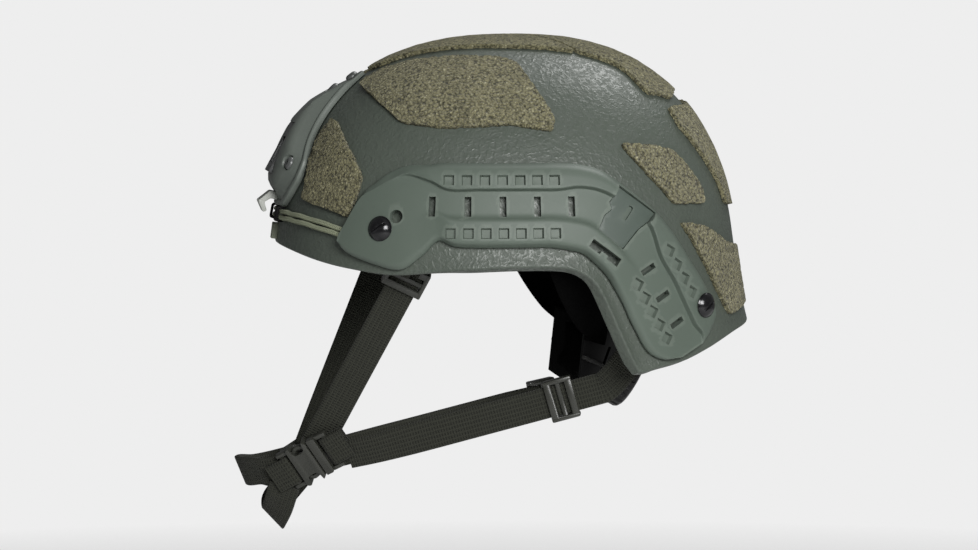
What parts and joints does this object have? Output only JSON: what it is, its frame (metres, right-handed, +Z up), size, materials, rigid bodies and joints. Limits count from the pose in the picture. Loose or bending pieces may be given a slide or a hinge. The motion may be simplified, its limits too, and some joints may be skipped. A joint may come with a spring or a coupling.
{
  "type": "combat helmet",
  "caption": "High-cut ballistic helmet shell with accessory rails, front mount shroud, loop panels, pad liner, fit dial and a four-point chin strap harness.",
  "frame": {"origin": "middle of the wearer's head at ear height", "axes": "-Y front of the helmet, +X the wearer's left, +Z up"},
  "size_m": [0.2518, 0.3199, 0.3043],
  "materials": {
    "shell_laminate": "fine orange-peel paint",
    "loop_panel": "loop pile",
    "rail_polymer": "moulded satin",
    "black_screw": "gloss black",
    "steel_nut": "black oxide",
    "dark_plate": "dull",
    "pale_hook": "moulded",
    "bungee": "braided",
    "black_polymer": "moulded",
    "pad_fabric": "brushed fabric",
    "hook_fabric": "hook pile",
    "lace": "braided",
    "webbing": "ribbed weave",
    "buckle_polymer": "moulded"
  },
  "bodies": {
    "helmet": {"shell": "shell_laminate", "loop_temple_left": "loop_panel", "loop_temple_right": "loop_panel", "loop_side_left": "loop_panel", "loop_side_right": "loop_panel", "loop_crown": "loop_panel", "loop_crown_tail": "loop_panel", "loop_rear": "loop_panel", "loop_rear_side_left": "loop_panel", "loop_rear_side_right": "loop_panel", "loop_nape_left": "loop_panel", "loop_nape_right": "loop_panel", "rail_left": "rail_polymer", "rail_right": "rail_polymer", "rail_insert_left": "rail_polymer", "rail_insert_right": "rail_polymer", "rail_screws": "black_screw", "rail_nuts": "steel_nut", "shroud": "rail_polymer", "shroud_plate": "dark_plate", "shroud_screws": "black_screw", "shroud_nuts": "steel_nut", "shroud_hook": "pale_hook", "bungee_left": "bungee", "bungee_right": "bungee", "bungee_rings": "black_polymer", "pad_crown": "pad_fabric", "pad_front": "pad_fabric", "pad_rear": "pad_fabric", "pad_side_front_left": "pad_fabric", "pad_side_front_right": "pad_fabric", "pad_side_rear_left": "pad_fabric", "pad_side_rear_right": "pad_fabric", "hook_discs": "hook_fabric", "headband": "black_polymer", "nape_cradle": "black_polymer", "nape_pad": "pad_fabric", "dial_housing": "black_polymer", "fit_laces": "lace", "front_strap_left": "webbing", "front_strap_right": "webbing", "rear_strap_left": "webbing", "rear_strap_right": "webbing", "front_lock_left": "buckle_polymer", "front_lock_right": "buckle_polymer", "strap_tabs": "webbing", "buckle_male": "buckle_polymer", "buckle_loop": "webbing", "chin_joint_right": "buckle_polymer"},
    "dial": {"dial_knob": "black_polymer", "dial_spool": "black_polymer", "dial_screw": "steel_nut"},
    "buckle": {"buckle_female": "buckle_polymer", "chin_loop": "webbing", "chin_strap_front": "webbing", "chin_strap_under": "webbing"},
    "slider_left": {"rear_slider_left": "buckle_polymer"},
    "slider_right": {"rear_slider_right": "buckle_polymer"}
  },
  "joints": [
    {"name": "dial_turn", "type": "hinge", "parent": "helmet", "child": "dial", "pos_m": [0, 0.075, -0.066], "axis": [0, 0.866, -0.5], "continuous": true},
    {"name": "buckle_release", "type": "slide", "parent": "helmet", "child": "buckle", "axis": [-0.3867, -0.8025, -0.4544], "range_m": [0, 0.02]},
    {"name": "slider_left_shift", "type": "slide", "parent": "helmet", "child": "slider_left", "axis": [0.1959, 0.9437, 0.2667], "range_m": [-0.012, 0.012]},
    {"name": "slider_right_shift", "type": "slide", "parent": "helmet", "child": "slider_right", "axis": [-0.2546, 0.9513, 0.1739], "range_m": [-0.012, 0.012]}
  ]
}
